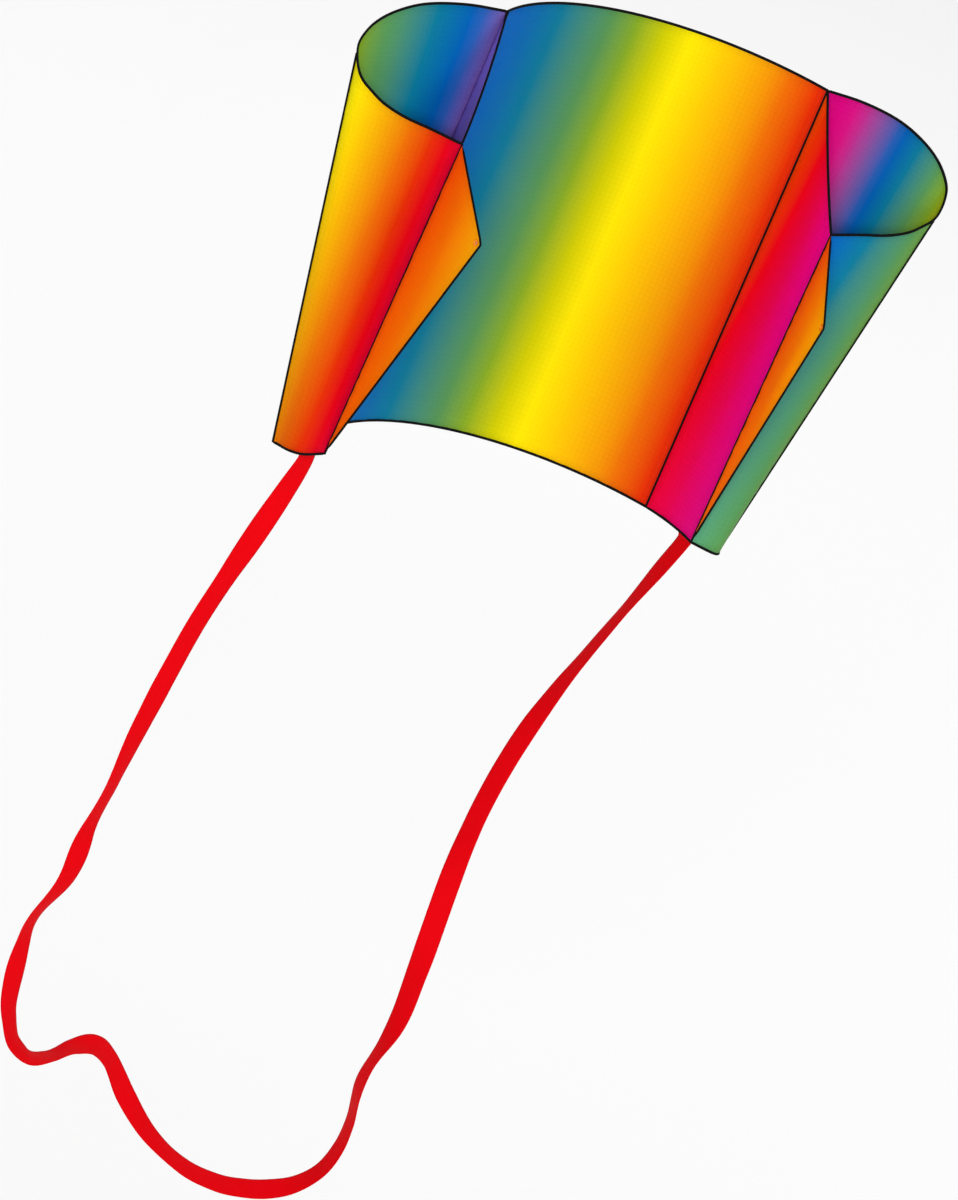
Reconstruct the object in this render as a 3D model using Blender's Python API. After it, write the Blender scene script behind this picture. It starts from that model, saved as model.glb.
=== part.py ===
# Frameless sled kite: a curved canopy between two ram-air cells, with two keels and a looped ribbon tail.
# Metres. +Z runs to the leading edge, -Y faces the wind and +X is to the right of the windward side.
# The origin is on the windward face of the canopy, at mid span.

import math

import bmesh
import bpy
from mathutils import Matrix, Quaternion, Vector

# Overall sizes
KITE_LENGTH = 0.500
HEIGHT_OF_ORIGIN = 0.300
SEAM_HALF_SPAN = 0.1925
CANOPY_SAG = 0.084
CLOTH = 0.0008
GAP = 0.0003

# Bindings and pipings: round edge tapes on every free edge and seam
BINDING_RADIUS = 0.00125
KEEL_BINDING_RADIUS = 0.0010
END_CLEAR = 0.0024
RIM_END_CLEAR = 0.0050
CLOTH_INSET = BINDING_RADIUS + GAP

# Cell outlines as (outward, forward) from the canopy's seam, from the seam round to the keel line
RIM_OUTLINE = [
    (0.0, 0.0),
    (0.0462, -0.0011),
    (0.0904, 0.0012),
    (0.1234, 0.0074),
    (0.1463, 0.0158),
    (0.1592, 0.0260),
    (0.1605, 0.0342),
    (0.1561, 0.0432),
    (0.1496, 0.0489),
    (0.1383, 0.0543),
    (0.1219, 0.0608),
    (0.0971, 0.0669),
    (0.0641, 0.0723),
    (0.0290, 0.0785),
]
OUTLET_OUTLINE = [
    (0.0, 0.0),
    (0.0240, 0.0040),
    (0.0500, 0.0145),
    (0.0718, 0.0408),
    (0.0750, 0.0445),
    (0.0725, 0.0492),
    (0.0655, 0.0655),
    (0.0530, 0.0738),
    (0.0280, 0.0690),
]

# The points of the two outlines where the back panel is sewn to the front one, as drawn on each cell
RIM_FOLDS = {"left": 6, "right": 8}
OUTLET_FOLDS = {"left": 4, "right": 5}

# The rim of the intake and the outlet each lie in one sloping plane
RIM_OUT_SLOPE = 0.119
RIM_FORWARD_SLOPE = 1.55445
OUTLET_OUT_SLOPE = 0.1766
OUTLET_FORWARD_SLOPE = 0.0717

# The wall bows towards the channel at the intake and into the cell at the outlet
WALL_BOW_TOP = 0.0025
WALL_BOW_BOTTOM = -0.0050

# Keel: its tip, from the top of the keel line
TIP_INWARD = 0.016
TIP_FORWARD = 0.096
TIP_DROP = 0.0665
KEEL_TOP_CLEAR = 0.0034
KEEL_BOTTOM_CLEAR = 0.0098

# Eyelet in the keel's tip
EYELET_INSET = 0.0095
EYELET_BORE_RADIUS = 0.0020
EYELET_BARREL_RADIUS = 0.0026
EYELET_HOLE_RADIUS = 0.0029
EYELET_FLANGE_RADIUS = 0.0038
EYELET_FLANGE = 0.0004
EYELET_SIDES = 24
DRILL_LENGTH = 0.010

# Tail: a ribbon loop from a tab under each cell
TAB_ALONG_WALL = 0.80
TAB_WIDTH = 0.022
TAB_DROP = 0.0065
TAB_THICKNESS = 0.0010
HINGE_DROP = 0.0006
RIBBON_WIDTH = 0.024
RIBBON_STEPS = 150

# Route of the ribbon's centreline from the left tab to the right one, as
# (x, forward of the tabs, height above the trailing edge)
RIBBON_ROUTE = [
    (-0.234, 0.000, -0.041),
    (-0.266, 0.002, -0.188),
    (-0.277, 0.004, -0.253),
    (-0.288, 0.008, -0.352),
    (-0.292, 0.010, -0.419),
    (-0.299, 0.013, -0.471),
    (-0.301, 0.017, -0.527),
    (-0.321, 0.022, -0.577),
    (-0.323, 0.026, -0.610),
    (-0.315, 0.029, -0.664),
    (-0.302, 0.028, -0.695),
    (-0.284, 0.024, -0.720),
    (-0.257, 0.017, -0.734),
    (-0.230, 0.007, -0.732),
    (-0.204, -0.004, -0.722),
    (-0.175, -0.015, -0.718),
    (-0.147, -0.024, -0.733),
    (-0.110, -0.027, -0.771),
    (-0.068, -0.023, -0.806),
    (-0.018, -0.019, -0.831),
    (0.024, -0.016, -0.839),
    (0.055, -0.013, -0.837),
    (0.081, -0.011, -0.831),
    (0.106, -0.008, -0.818),
    (0.126, -0.005, -0.795),
    (0.134, -0.003, -0.766),
    (0.134, -0.002, -0.734),
    (0.126, -0.001, -0.679),
    (0.137, 0.000, -0.611),
    (0.134, 0.001, -0.543),
    (0.125, 0.001, -0.405),
    (0.132, -0.001, -0.301),
    (0.155, -0.002, -0.200),
    (0.206, -0.003, -0.053),
]

# The flat of the ribbon faces this way where its turn is 0, to windward, left and up
RIBBON_FACING = Vector((-0.45, -0.83, 0.33))

# Turns of the ribbon about its own line, as (share of its length, degrees)
RIBBON_TURNS = [
    (0.000, -28.5),
    (0.010, -30.0),
    (0.015, -35.0),
    (0.055, -17.0),
    (0.065, -19.0),
    (0.090, -40.0),
    (0.160, -37.0),
    (0.185, -46.0),
    (0.205, -62.0),
    (0.225, -65.0),
    (0.235, -60.0),
    (0.250, -28.0),
    (0.280, -67.0),
    (0.290, -70.0),
    (0.300, -63.0),
    (0.320, -35.0),
    (0.355, -55.0),
    (0.380, -48.0),
    (0.390, -58.0),
    (0.400, -59.0),
    (0.410, -50.0),
    (0.425, -16.0),
    (0.435, -38.0),
    (0.445, -45.0),
    (0.465, -28.0),
    (0.510, -51.0),
    (0.565, -31.0),
    (0.575, -33.0),
    (0.590, -48.0),
    (0.640, -69.0),
    (0.655, -59.0),
    (0.670, -65.0),
    (0.690, -34.0),
    (0.720, -21.0),
    (0.740, 0.0),
    (0.770, 0.0),
    (0.780, 14.0),
    (0.805, 31.0),
    (0.865, 32.0),
    (0.910, 58.0),
    (0.945, 66.0),
    (0.990, 48.0),
    (1.000, 28.5),
]

# Mesh density
SPAN_STEPS = 8
CANOPY_COLUMNS = 28
CELL_COLUMNS = 26
FRONT_COLUMNS = 18
WALL_COLUMNS = 6
ROWS = 6

# Colours, linear RGB, the mean of each panel's shading
YELLOW = (0.80, 0.62, 0.01)
ORANGE = (0.87, 0.19, 0.01)
RED_ORANGE = (0.80, 0.08, 0.01)
RED = (0.72, 0.01, 0.02)
MAGENTA = (0.60, 0.01, 0.20)
VIOLET = (0.12, 0.07, 0.35)
TEAL = (0.01, 0.22, 0.30)
GREEN = (0.16, 0.38, 0.05)
BLACK = (0.012, 0.012, 0.012)
LACQUER = (0.80, 0.20, 0.01)

# Roughness of each finish
CLOTH_ROUGHNESS = 0.60
RIBBON_ROUGHNESS = 0.50
TAPE_ROUGHNESS = 0.75
LACQUER_ROUGHNESS = 0.35


def clear_scene():
    for obj in list(bpy.data.objects):
        bpy.data.objects.remove(obj)


def make_material(name, colour, roughness=CLOTH_ROUGHNESS):
    material = bpy.data.materials.new(name)
    material.use_nodes = True
    shader = material.node_tree.nodes["Principled BSDF"]
    shader.inputs["Base Color"].default_value = (*colour, 1.0)
    shader.inputs["Roughness"].default_value = roughness
    shader.inputs["Metallic"].default_value = 0.0
    return material


def add_object(name, data, material):
    obj = bpy.data.objects.new(name, data)
    bpy.context.scene.collection.objects.link(obj)
    data.materials.append(material)
    return obj


def turn_about(name, place, pieces):
    """Parents the pieces to an empty on their joint's axis and leaves them where they are."""
    pivot = bpy.data.objects.new(name, None)
    bpy.context.scene.collection.objects.link(pivot)
    pivot.location = place
    for piece in pieces:
        piece.parent = pivot
        piece.matrix_parent_inverse = Matrix.Translation(-place)


# Points and paths

def at(outward, forward, height):
    """A point by its distances from the foot of the right seam."""
    return Vector((SEAM_HALF_SPAN + outward, SEAM_Y - forward, height - HEIGHT_OF_ORIGIN))


def mirrored(point):
    return Vector((-point.x, point.y, point.z))


def smooth_path(points):
    """A Catmull-Rom curve through the points."""
    padded = [2 * points[0] - points[1], *points, 2 * points[-1] - points[-2]]
    path = []
    for before, start, end, after in zip(padded, padded[1:], padded[2:], padded[3:]):
        for step in range(SPAN_STEPS):
            t = step / SPAN_STEPS
            path.append(
                0.5 * (2 * start + (end - before) * t)
                + 0.5 * (2 * before - 5 * start + 4 * end - after) * t * t
                + 0.5 * (3 * start - before - 3 * end + after) * t**3
            )
    path.append(points[-1])
    return path


def path_length(path):
    return sum((b - a).length for a, b in zip(path, path[1:]))


def point_at(path, distance):
    for a, b in zip(path, path[1:]):
        step = (b - a).length
        if distance <= step:
            return a.lerp(b, distance / step)
        distance -= step
    return path[-1].copy()


def spread(path, count, start=0.0, end=0.0):
    """count + 1 points at even distances along the path, less a stretch at each end."""
    free = path_length(path) - start - end
    return [point_at(path, start + free * step / count) for step in range(count + 1)]


def crossing(direction, other):
    """Sine of the angle between two directions."""
    return direction.normalized().cross(other.normalized()).length


# Cloth panels

def cloth_object(name, rows, material):
    """A sheet through rows of points, thickened about its middle."""
    mesh = bpy.data.meshes.new(name)
    sheet = bmesh.new()
    grid = [[sheet.verts.new(point) for point in row] for row in rows]
    for upper, lower in zip(grid, grid[1:]):
        for column in range(len(upper) - 1):
            sheet.faces.new((upper[column], lower[column], lower[column + 1], upper[column + 1]))
    sheet.to_mesh(mesh)
    sheet.free()
    obj = add_object(name, mesh, material)
    thicken(obj)
    return obj


def thicken(obj, thickness=CLOTH):
    solid = obj.modifiers.new("Thickness", "SOLIDIFY")
    solid.thickness = thickness
    solid.offset = 0.0
    solid.use_even_offset = True


def stations(top_path, bottom_path, columns):
    """Even points along both edges of a ruled panel, CLOTH_INSET clear of its two sides."""
    gaps = []
    for end, inner in ((0, 1), (-1, -2)):
        fall = bottom_path[end] - top_path[end]
        for path in (top_path, bottom_path):
            gaps.append(CLOTH_INSET / crossing(fall, path[inner] - path[end]))
    top = spread(top_path, columns, gaps[0], gaps[2])
    bottom = spread(bottom_path, columns, gaps[1], gaps[3])
    return top, bottom


def panel_rows(top_path, bottom_path, columns):
    """Rows of points of a ruled panel, kept CLOTH_INSET inside its four edges."""
    top, bottom = stations(top_path, bottom_path, columns)
    rows = [[] for _ in range(ROWS + 1)]
    for column in range(columns + 1):
        before, after = max(column - 1, 0), min(column + 1, columns)
        fall = (bottom[column] - top[column]).normalized()
        top_inset = CLOTH_INSET / crossing(fall, top[after] - top[before])
        bottom_inset = CLOTH_INSET / crossing(fall, bottom[after] - bottom[before])
        upper = top[column] + fall * top_inset
        lower = bottom[column] - fall * bottom_inset
        for row in range(ROWS + 1):
            rows[row].append(upper.lerp(lower, row / ROWS))
    return rows


# Tubes

def tube_object(name, points, radius, material, ring=False):
    curve = bpy.data.curves.new(name, "CURVE")
    curve.dimensions = "3D"
    curve.bevel_depth = radius
    curve.bevel_resolution = 2
    curve.use_fill_caps = not ring
    spline = curve.splines.new("POLY")
    spline.points.add(len(points) - 1)
    for spot, point in zip(spline.points, points):
        spot.co = (*point, 1.0)
    spline.use_cyclic_u = ring
    return add_object(name, curve, material)


# Shape of the kite, on the right side

def canopy_arc(height):
    points = []
    for step in range(CANOPY_COLUMNS + 1):
        angle = CANOPY_HALF_ANGLE * (2 * step / CANOPY_COLUMNS - 1)
        x = CANOPY_RADIUS * math.sin(angle)
        y = CANOPY_RADIUS * (math.cos(angle) - 1) + CLOTH / 2
        points.append(Vector((x, y, height - HEIGHT_OF_ORIGIN)))
    return points


def rim_point(outward, forward):
    height = KITE_LENGTH - RIM_OUT_SLOPE * outward - RIM_FORWARD_SLOPE * forward
    return at(outward, forward, height)


def outlet_point(outward, forward):
    height = OUTLET_FORWARD_SLOPE * forward - OUTLET_OUT_SLOPE * outward
    return at(outward, forward, height)


def split_outline(points, fold):
    """The back and the front stretch of a cell outline, before and after its fold."""
    path = smooth_path(points)
    outer = fold * SPAN_STEPS
    return path[: outer + 1], path[outer:]


def wall_edge(seam_end, keel_end, bow):
    """The wall's edge from the seam to the keel line, bowed towards the channel."""
    across = keel_end - seam_end
    inward = Vector((across.y, -across.x, 0.0)).normalized()
    points = []
    for step in range(SPAN_STEPS + 1):
        t = step / SPAN_STEPS
        points.append(seam_end + across * t + inward * bow * 4 * t * (1 - t))
    return points


def make_cell(side, flip, materials):
    back_top, front_top = RIM_PATHS[side]
    back_bottom, front_bottom = OUTLET_PATHS[side]
    panels = [
        ("cell_back", back_top, back_bottom, CELL_COLUMNS),
        ("cell_front", front_top, front_bottom, FRONT_COLUMNS),
        ("cell_wall", WALL_TOP, WALL_BOTTOM, WALL_COLUMNS),
    ]
    for name, top, bottom, columns in panels:
        rows = [[flip(point) for point in row] for row in panel_rows(top, bottom, columns)]
        cloth_object(f"{side}_{name}", rows, materials[f"{side}_{name}"])


def make_bindings(side, flip, black):
    """The rings round the intake and the outlet, and the pipings of the three long seams."""
    rim, outlet = RIM_PATHS[side], OUTLET_PATHS[side]
    back = stations(rim[0], outlet[0], CELL_COLUMNS)
    front = stations(rim[1], outlet[1], FRONT_COLUMNS)
    for name, paths, wall, level in (
        ("intake_binding", rim, WALL_TOP, 0),
        ("outlet_binding", outlet, WALL_BOTTOM, 1),
    ):
        mouth = [wall[0], *back[level][1:], paths[1][0], *front[level][:-1]]
        ring = mouth + wall[::-1][:-1]
        tube_object(f"{side}_{name}", [flip(p) for p in ring], BINDING_RADIUS, black, ring=True)
    lines = (
        ("seam_piping", rim[0][0], outlet[0][0], RIM_END_CLEAR),
        ("outer_piping", rim[0][-1], outlet[0][-1], RIM_END_CLEAR),
        ("keel_line_piping", KEEL_TOP, KEEL_BOTTOM, END_CLEAR),
    )
    for name, top, bottom, top_clear in lines:
        points = spread([top, bottom], ROWS, top_clear, END_CLEAR)
        tube_object(f"{side}_{name}", [flip(p) for p in points], BINDING_RADIUS, black)


# Keels

def inset_corner(corner, along_one, along_two, inset_one, inset_two):
    """The corner of the shape that lies inset_one inside edge one and inset_two inside edge two."""
    one, two = along_one.normalized(), along_two.normalized()
    sine = crossing(one, two)
    return corner + one * (inset_two / sine) + two * (inset_one / sine)


def make_keel(side, flip, cloth, black, lacquer):
    top, tip, bottom = KEEL_TOP, KEEL_TIP, KEEL_BOTTOM
    edge = KEEL_BINDING_RADIUS + GAP
    corners = [
        inset_corner(top, bottom - top, tip - top, CLOTH_INSET, edge),
        inset_corner(tip, top - tip, bottom - tip, edge, edge),
        inset_corner(bottom, tip - bottom, top - bottom, edge, CLOTH_INSET),
    ]
    mesh = bpy.data.meshes.new(f"{side}_keel")
    sheet = bmesh.new()
    sheet.faces.new([sheet.verts.new(flip(corner)) for corner in corners])
    sheet.to_mesh(mesh)
    sheet.free()
    keel = add_object(f"{side}_keel", mesh, cloth)
    thicken(keel)

    normal = flip(bottom - top).cross(flip(tip - top)).normalized()
    centre = flip(tip + ((top - tip).normalized() + (bottom - tip).normalized()).normalized() * EYELET_INSET)
    turn = normal.to_track_quat("Z", "Y").to_matrix().to_4x4()
    turn.translation = centre
    cutter = cut_eyelet_hole(keel, side, turn)
    eyelet = make_eyelet(side, turn, lacquer)

    upper = top + (tip - top).normalized() * KEEL_TOP_CLEAR
    lower = bottom + (tip - bottom).normalized() * KEEL_BOTTOM_CLEAR
    edges = [flip(point) for point in (upper, tip, lower)]
    binding = tube_object(f"{side}_keel_binding", edges, KEEL_BINDING_RADIUS, black)
    turn_about(f"{side}_keel_hinge", flip(bottom), (keel, cutter, eyelet, binding))


def cut_eyelet_hole(keel, side, turn):
    mesh = bpy.data.meshes.new(f"{side}_hole_cutter")
    drill = bmesh.new()
    bmesh.ops.create_cone(
        drill,
        cap_ends=True,
        segments=EYELET_SIDES,
        radius1=EYELET_HOLE_RADIUS,
        radius2=EYELET_HOLE_RADIUS,
        depth=DRILL_LENGTH,
    )
    drill.to_mesh(mesh)
    drill.free()
    cutter = bpy.data.objects.new(f"{side}_hole_cutter", mesh)
    bpy.context.scene.collection.objects.link(cutter)
    cutter.matrix_world = turn
    cutter.hide_render = True
    cutter.display_type = "WIRE"
    cut = keel.modifiers.new("Eyelet hole", "BOOLEAN")
    cut.object = cutter
    return cutter


def make_eyelet(side, turn, lacquer):
    face = CLOTH / 2 + GAP
    rim = face + EYELET_FLANGE
    profile = [
        (EYELET_BORE_RADIUS, -rim),
        (EYELET_FLANGE_RADIUS, -rim),
        (EYELET_FLANGE_RADIUS, -face),
        (EYELET_BARREL_RADIUS, -face),
        (EYELET_BARREL_RADIUS, face),
        (EYELET_FLANGE_RADIUS, face),
        (EYELET_FLANGE_RADIUS, rim),
        (EYELET_BORE_RADIUS, rim),
    ]
    mesh = bpy.data.meshes.new(f"{side}_keel_eyelet")
    ring = bmesh.new()
    verts = [ring.verts.new((radius, 0.0, z)) for radius, z in profile]
    edges = [ring.edges.new((a, b)) for a, b in zip(verts, verts[1:] + verts[:1])]
    bmesh.ops.spin(
        ring,
        geom=verts + edges,
        cent=(0.0, 0.0, 0.0),
        axis=(0.0, 0.0, 1.0),
        angle=math.tau,
        steps=EYELET_SIDES,
        use_merge=True,
    )
    bmesh.ops.recalc_face_normals(ring, faces=ring.faces)
    ring.to_mesh(mesh)
    ring.free()
    eyelet = add_object(f"{side}_keel_eyelet", mesh, lacquer)
    eyelet.matrix_world = turn
    return eyelet


# Tail

def make_tab(side, flip, ribbon):
    spot = flip(TAB_SPOT)
    mesh = bpy.data.meshes.new(f"{side}_tail_tab")
    block = bmesh.new()
    bmesh.ops.create_cube(block, size=1.0)
    bmesh.ops.scale(block, vec=(TAB_WIDTH, TAB_THICKNESS, TAB_DROP), verts=block.verts)
    block.to_mesh(mesh)
    block.free()
    tab = add_object(f"{side}_tail_tab", mesh, ribbon)
    tab.location = (spot.x, spot.y, TAB_FOOT + TAB_DROP / 2)


def ribbon_path():
    start = Vector((-TAB_SPOT.x, TAB_SPOT.y, TAIL_HINGE.z - GAP))
    lead = Vector((0.0, 0.0, -RIBBON_WIDTH / 4))
    route = []
    for x, forward, height in RIBBON_ROUTE:
        route.append(Vector((x, TAB_SPOT.y - forward, height - HEIGHT_OF_ORIGIN)))
    end = mirrored(start)
    path = smooth_path([start, start + lead, *route, end + lead, end])
    return spread(path, RIBBON_STEPS)


def ribbon_turn(share):
    """Turn of the ribbon in radians, at a share of its length."""
    for (start, first), (end, last) in zip(RIBBON_TURNS, RIBBON_TURNS[1:]):
        if share <= end:
            return math.radians(first + (last - first) * (share - start) / (end - start))
    return math.radians(RIBBON_TURNS[-1][1])


def make_ribbon(material):
    """A turning band along the route, with its two ends level under the tabs."""
    path = ribbon_path()
    directions = [after - before for before, after in zip(path, path[2:])]
    down = Vector((0.0, 0.0, -1.0))
    rows = []
    for step, (point, along) in enumerate(zip(path, [down, *directions, -down])):
        turn = Quaternion(along.normalized(), ribbon_turn(step / RIBBON_STEPS))
        sideways = turn @ along.cross(RIBBON_FACING).normalized()
        rows.append([point - sideways * RIBBON_WIDTH / 2, point + sideways * RIBBON_WIDTH / 2])
    ribbon = cloth_object("tail_ribbon", rows, material)
    turn_about("tail_swing", TAIL_HINGE, [ribbon])


# Values that follow from the driving sizes
SEAM_Y = CLOTH / 2 - CANOPY_SAG
CANOPY_RADIUS = (SEAM_HALF_SPAN**2 + CANOPY_SAG**2) / (2 * CANOPY_SAG)
CANOPY_HALF_ANGLE = math.asin(SEAM_HALF_SPAN / CANOPY_RADIUS)
RIM_POINTS = [rim_point(*spot) for spot in RIM_OUTLINE]
RIM_PATHS = {side: split_outline(RIM_POINTS, fold) for side, fold in RIM_FOLDS.items()}
OUTLET_POINTS = [outlet_point(*spot) for spot in OUTLET_OUTLINE]
OUTLET_PATHS = {side: split_outline(OUTLET_POINTS, fold) for side, fold in OUTLET_FOLDS.items()}
KEEL_TOP = RIM_POINTS[-1]
KEEL_BOTTOM = OUTLET_POINTS[-1]
KEEL_TIP = KEEL_TOP + Vector((-TIP_INWARD, -TIP_FORWARD, -TIP_DROP))
WALL_TOP = wall_edge(RIM_POINTS[0], KEEL_TOP, WALL_BOW_TOP)
WALL_BOTTOM = wall_edge(OUTLET_POINTS[0], KEEL_BOTTOM, WALL_BOW_BOTTOM)
TAB_SPOT = point_at(WALL_BOTTOM, path_length(WALL_BOTTOM) * TAB_ALONG_WALL)
TAB_FOOT = TAB_SPOT.z - BINDING_RADIUS - GAP - TAB_DROP
TAIL_HINGE = Vector((0.0, TAB_SPOT.y, TAB_FOOT - HINGE_DROP))


def main():
    clear_scene()
    black = make_material("black_binding", BLACK, TAPE_ROUGHNESS)
    lacquer = make_material("orange_lacquer", LACQUER, LACQUER_ROUGHNESS)
    red = make_material("red_ribbon", RED, RIBBON_ROUGHNESS)
    cloths = {
        "left_cell_back": make_material("green_cloth", GREEN),
        "left_cell_front": make_material("orange_cloth", ORANGE),
        "left_cell_wall": make_material("violet_cloth", VIOLET),
        "right_cell_back": make_material("teal_cloth", TEAL),
        "right_cell_front": make_material("teal_green_cloth", GREEN),
        "right_cell_wall": make_material("magenta_cloth", MAGENTA),
    }
    canopy_rows = panel_rows(canopy_arc(KITE_LENGTH), canopy_arc(0.0), CANOPY_COLUMNS)
    cloth_object("canopy", canopy_rows, make_material("yellow_cloth", YELLOW))
    for name, height in (("leading_edge_binding", KITE_LENGTH), ("trailing_edge_binding", 0.0)):
        points = spread(canopy_arc(height), CANOPY_COLUMNS, END_CLEAR, END_CLEAR)
        tube_object(name, points, BINDING_RADIUS, black)
    for side, flip in (("left", mirrored), ("right", Vector)):
        make_cell(side, flip, cloths)
        make_bindings(side, flip, black)
        make_keel(side, flip, make_material(f"{side}_keel_cloth", RED_ORANGE), black, lacquer)
        make_tab(side, flip, red)
    make_ribbon(red)


main()
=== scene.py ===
import bisect
import math

import bmesh
import bpy
from mathutils import Matrix, Quaternion, Vector, noise


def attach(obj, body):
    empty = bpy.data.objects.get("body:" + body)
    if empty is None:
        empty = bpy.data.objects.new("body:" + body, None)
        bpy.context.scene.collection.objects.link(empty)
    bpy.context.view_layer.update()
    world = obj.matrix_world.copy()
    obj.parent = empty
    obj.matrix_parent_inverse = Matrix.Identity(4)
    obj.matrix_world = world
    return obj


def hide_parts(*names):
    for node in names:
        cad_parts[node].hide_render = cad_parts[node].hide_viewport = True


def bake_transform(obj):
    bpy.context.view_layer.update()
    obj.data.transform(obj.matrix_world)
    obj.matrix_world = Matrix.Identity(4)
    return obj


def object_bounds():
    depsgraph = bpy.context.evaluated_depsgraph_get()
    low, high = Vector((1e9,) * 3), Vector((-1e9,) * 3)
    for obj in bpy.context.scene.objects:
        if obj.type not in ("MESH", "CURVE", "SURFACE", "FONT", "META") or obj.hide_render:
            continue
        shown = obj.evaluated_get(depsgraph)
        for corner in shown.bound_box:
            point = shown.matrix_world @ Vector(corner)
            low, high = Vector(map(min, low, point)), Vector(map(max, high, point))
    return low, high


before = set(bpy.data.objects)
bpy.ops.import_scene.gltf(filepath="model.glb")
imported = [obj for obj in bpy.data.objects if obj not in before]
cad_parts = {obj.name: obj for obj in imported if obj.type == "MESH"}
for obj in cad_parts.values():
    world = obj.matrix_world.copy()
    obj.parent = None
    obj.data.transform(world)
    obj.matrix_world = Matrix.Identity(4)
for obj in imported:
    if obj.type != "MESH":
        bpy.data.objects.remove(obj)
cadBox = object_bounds()
print("sled kite: frame loaded,", len(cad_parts), "nodes")


# Camera, floor and light

camera = {
    "azimuth": -28.553,  # degrees from the windward side, to its left
    "elevation": 19.062,
    "roll": 23.554,
    "aim": (0.01289, -0.16, -0.41553),
    "distance": 40.0,
    "lens": 1150.3,  # mm
    "sensor": 36.0,
    "clip": (1.0, 200.0),
}

studio = {
    "world": 0.62,
    "floorDrop": 0.60,  # below the lowest point of the tail
    "floorRadius": 20.0,
    "floorColour": (0.95, 0.95, 0.95),
    "floorRoughness": 0.9,
    "floorMottle": 0.01,
    "lamps": {  # place, aim, size, power
        "softKey": ((-3.6, -6.7, 2.5), (0.0, -0.1, 0.0), 3.0, 347.0),
        "rightFill": ((3.1, -6.6, 3.3), (0.0, -0.1, 0.0), 4.0, 155.0),
        "floorLamp": ((2.3, 4.2, 2.6), (2.1, 3.7, -1.7), 5.0, 76.0),
    },
}


def addCamera():
    turn = Matrix.Rotation(math.radians(camera["azimuth"]), 4, "Z")
    turn = turn @ Matrix.Rotation(math.radians(90 - camera["elevation"]), 4, "X")
    turn = turn @ Matrix.Rotation(math.radians(camera["roll"]), 4, "Z")
    lens = bpy.data.cameras.new("photoCamera")
    lens.lens = camera["lens"]
    lens.sensor_width = camera["sensor"]
    lens.clip_start, lens.clip_end = camera["clip"]
    viewer = bpy.data.objects.new("photoCamera", lens)
    place = Vector(camera["aim"]) + turn @ Vector((0.0, 0.0, camera["distance"]))
    viewer.matrix_world = Matrix.Translation(place) @ turn
    bpy.context.scene.collection.objects.link(viewer)
    bpy.context.scene.camera = viewer


def addWorld():
    scene = bpy.context.scene
    scene.view_settings.view_transform = "Standard"
    world = bpy.data.worlds.new("paleStudio")
    world.use_nodes = True
    backdrop = world.node_tree.nodes["Background"]
    backdrop.inputs["Color"].default_value = (1.0, 1.0, 1.0, 1.0)
    backdrop.inputs["Strength"].default_value = studio["world"]
    scene.world = world


def addLamps():
    for name, (place, aim, size, power) in studio["lamps"].items():
        light = bpy.data.lights.new(name, "AREA")
        light.shape = "DISK"
        light.size = size
        light.energy = power
        lamp = bpy.data.objects.new(name, light)
        lamp.location = place
        lamp.rotation_euler = (Vector(aim) - lamp.location).to_track_quat("-Z", "Y").to_euler()
        lamp.visible_camera = False
        bpy.context.scene.collection.objects.link(lamp)


def addFloor():
    disc = bmesh.new()
    bmesh.ops.create_circle(disc, cap_ends=True, radius=studio["floorRadius"], segments=96)
    floorHeight = cadBox[0][2] - studio["floorDrop"]
    bmesh.ops.translate(disc, vec=(0.0, 0.0, floorHeight), verts=disc.verts)
    mesh = bpy.data.meshes.new("paleFloor")
    disc.to_mesh(mesh)
    disc.free()
    mesh.materials.append(paleFloorPaint())
    floor = bpy.data.objects.new("paleFloor", mesh)
    bpy.context.scene.collection.objects.link(floor)


# Small helpers for nodes

def newFinish(name, roughness, specular):
    # a new material, its node tree and its shader
    material = bpy.data.materials.new(name)
    material.use_nodes = True
    shader = material.node_tree.nodes["Principled BSDF"]
    shader.inputs["Roughness"].default_value = roughness
    shader.inputs["Specular IOR Level"].default_value = specular
    return material, material.node_tree, shader


def addNode(tree, kind, **settings):
    node = tree.nodes.new(kind)
    for name, value in settings.items():
        setattr(node, name, value)
    return node


def plug(tree, value, socket):
    if isinstance(value, (int, float)):
        socket.default_value = value
    else:
        tree.links.new(value, socket)


def calc(tree, operation, *values):
    node = addNode(tree, "ShaderNodeMath", operation=operation)
    for value, socket in zip(values, node.inputs):
        plug(tree, value, socket)
    return node.outputs[0]


def fade(tree, value, start, end, first=0.0, last=1.0):
    # smooth step from first to last while the value goes from start to end
    node = addNode(tree, "ShaderNodeMapRange", interpolation_type="SMOOTHSTEP")
    names = "Value", "From Min", "From Max", "To Min", "To Max"
    for name, amount in zip(names, (value, start, end, first, last)):
        plug(tree, amount, node.inputs[name])
    return node.outputs["Result"]


def uvParts(tree, name):
    parts = addNode(tree, "ShaderNodeSeparateXYZ")
    tree.links.new(addNode(tree, "ShaderNodeUVMap", uv_map=name).outputs["UV"], parts.inputs[0])
    return parts.outputs["X"], parts.outputs["Y"]


def mottle(tree, scale, detail=2.0):
    # soft noise from 0 to 1 over the object, so that both sides of a seam agree
    cloud = addNode(tree, "ShaderNodeTexNoise")
    cloud.inputs["Scale"].default_value = scale
    cloud.inputs["Detail"].default_value = detail
    tree.links.new(addNode(tree, "ShaderNodeTexCoord").outputs["Object"], cloud.inputs["Vector"])
    return cloud.outputs["Fac"]


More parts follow.
